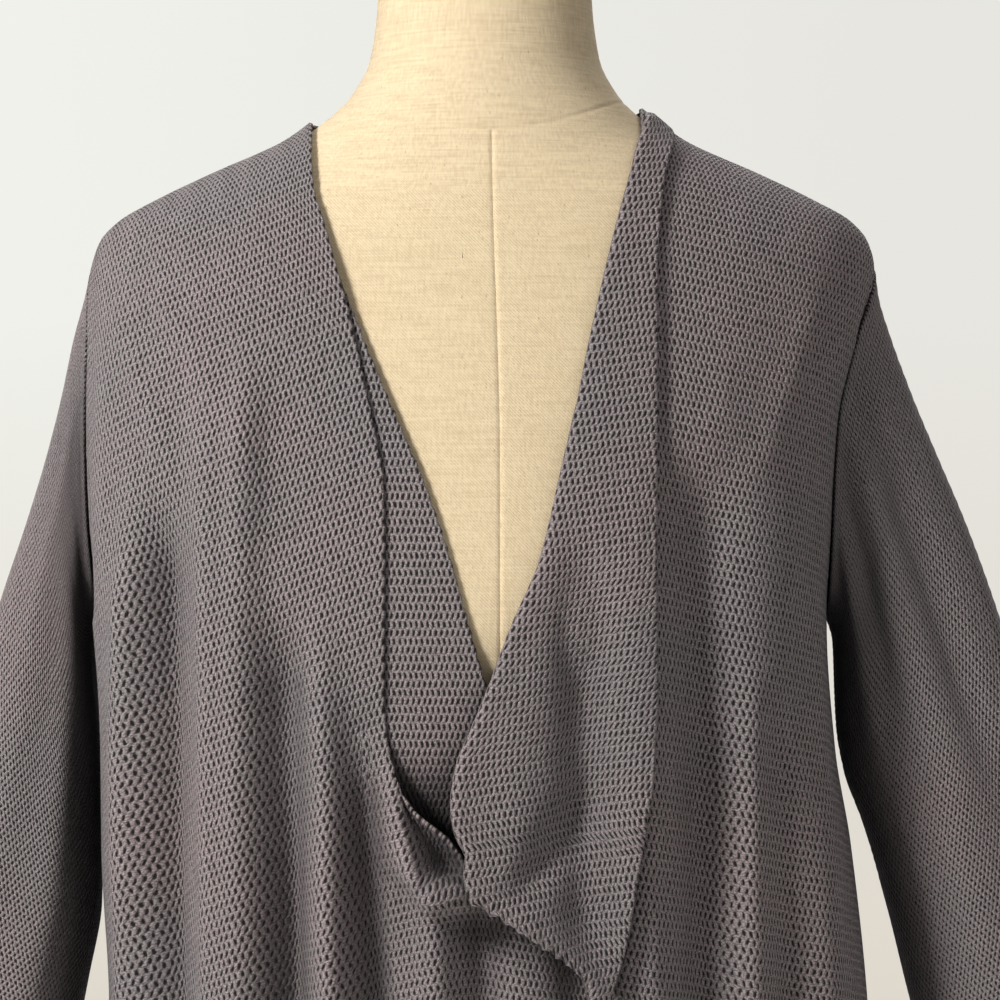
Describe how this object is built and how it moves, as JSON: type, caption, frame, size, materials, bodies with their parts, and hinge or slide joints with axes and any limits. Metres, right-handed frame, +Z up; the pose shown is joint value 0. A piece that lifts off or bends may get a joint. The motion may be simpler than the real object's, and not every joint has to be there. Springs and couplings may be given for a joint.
{
  "type": "pullover sweater on dress form",
  "caption": "Loose knit pullover with long sleeves and a draped asymmetric V neck, worn on a limbless linen dress form with a pole and round base.",
  "frame": {"origin": "centre of the base's underside, on the surface it stands on", "axes": "+Z up, -Y the wearer's front, +X the viewer's right when facing the front"},
  "size_m": [0.717, 0.33, 0.9973],
  "materials": {
    "knit": "moss-stitch knit, charcoal mauve",
    "linen": "natural linen, fine weave",
    "cap_wood": "satin",
    "metal": "satin"
  },
  "bodies": {
    "root": {"front": "knit", "under_front": "knit", "drape": "knit", "back": "knit", "sleeve_left": "knit", "sleeve_right": "knit", "torso": "linen", "neck_cap": "cap_wood", "pole": "metal", "base": "metal"}
  },
  "joints": []
}
